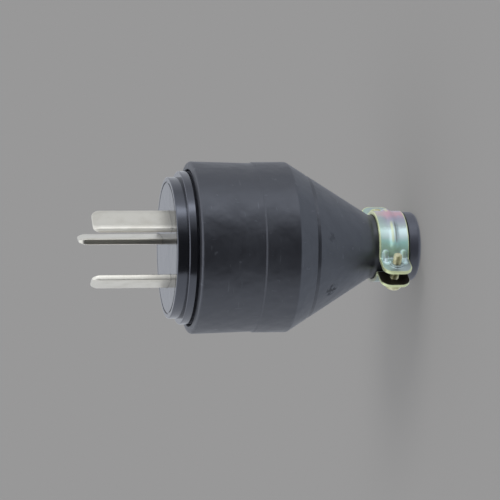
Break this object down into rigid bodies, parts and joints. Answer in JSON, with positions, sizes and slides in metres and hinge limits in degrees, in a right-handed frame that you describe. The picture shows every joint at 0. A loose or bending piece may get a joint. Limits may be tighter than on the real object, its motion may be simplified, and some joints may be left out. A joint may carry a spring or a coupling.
{
  "type": "waterproof plug",
  "caption": "Straight rubber-covered mains plug with flat blades, a stepped base, a tapered boot and a two-part steel clamp round its cable neck.",
  "frame": {"origin": "centre of the mating face, the flat front of the stepped base that the blades stand on", "axes": "+Z along the plug's axis, out of the mating face and towards the blade tips; +Y from the axis towards the earth blade; the cable leaves towards -Z"},
  "size_m": [0.0394, 0.0394, 0.0772],
  "materials": {
    "boot_rubber": "smooth moulded black rubber, satin",
    "base_moulding": "glossy black thermoset moulding",
    "inner_moulding": "matt dark thermoset moulding",
    "blade_plating": "satin nickel-plated brass",
    "terminal_brass": "plain turned brass",
    "clamp_zinc": "pressed steel, iridescent zinc passivation",
    "screw_zinc": "steel, yellow zinc passivation"
  },
  "bodies": {
    "root": {"rubber_boot": "boot_rubber", "blade_base": "base_moulding", "terminal_barrier": "inner_moulding", "live_blade": "blade_plating", "neutral_blade": "blade_plating", "earth_blade": "blade_plating", "tapped_clamp_half": "clamp_zinc", "plain_clamp_half": "clamp_zinc", "lower_clamp_screw": "screw_zinc", "upper_clamp_screw": "screw_zinc", "lower_lock_washer": "screw_zinc", "upper_lock_washer": "screw_zinc", "live_terminal_screw": "terminal_brass", "live_terminal_washer": "terminal_brass", "neutral_terminal_screw": "terminal_brass", "neutral_terminal_washer": "terminal_brass", "earth_terminal_screw": "terminal_brass", "earth_terminal_washer": "terminal_brass", "barrier_screw_1": "terminal_brass", "barrier_screw_2": "terminal_brass", "barrier_screw_3": "terminal_brass"}
  },
  "joints": []
}
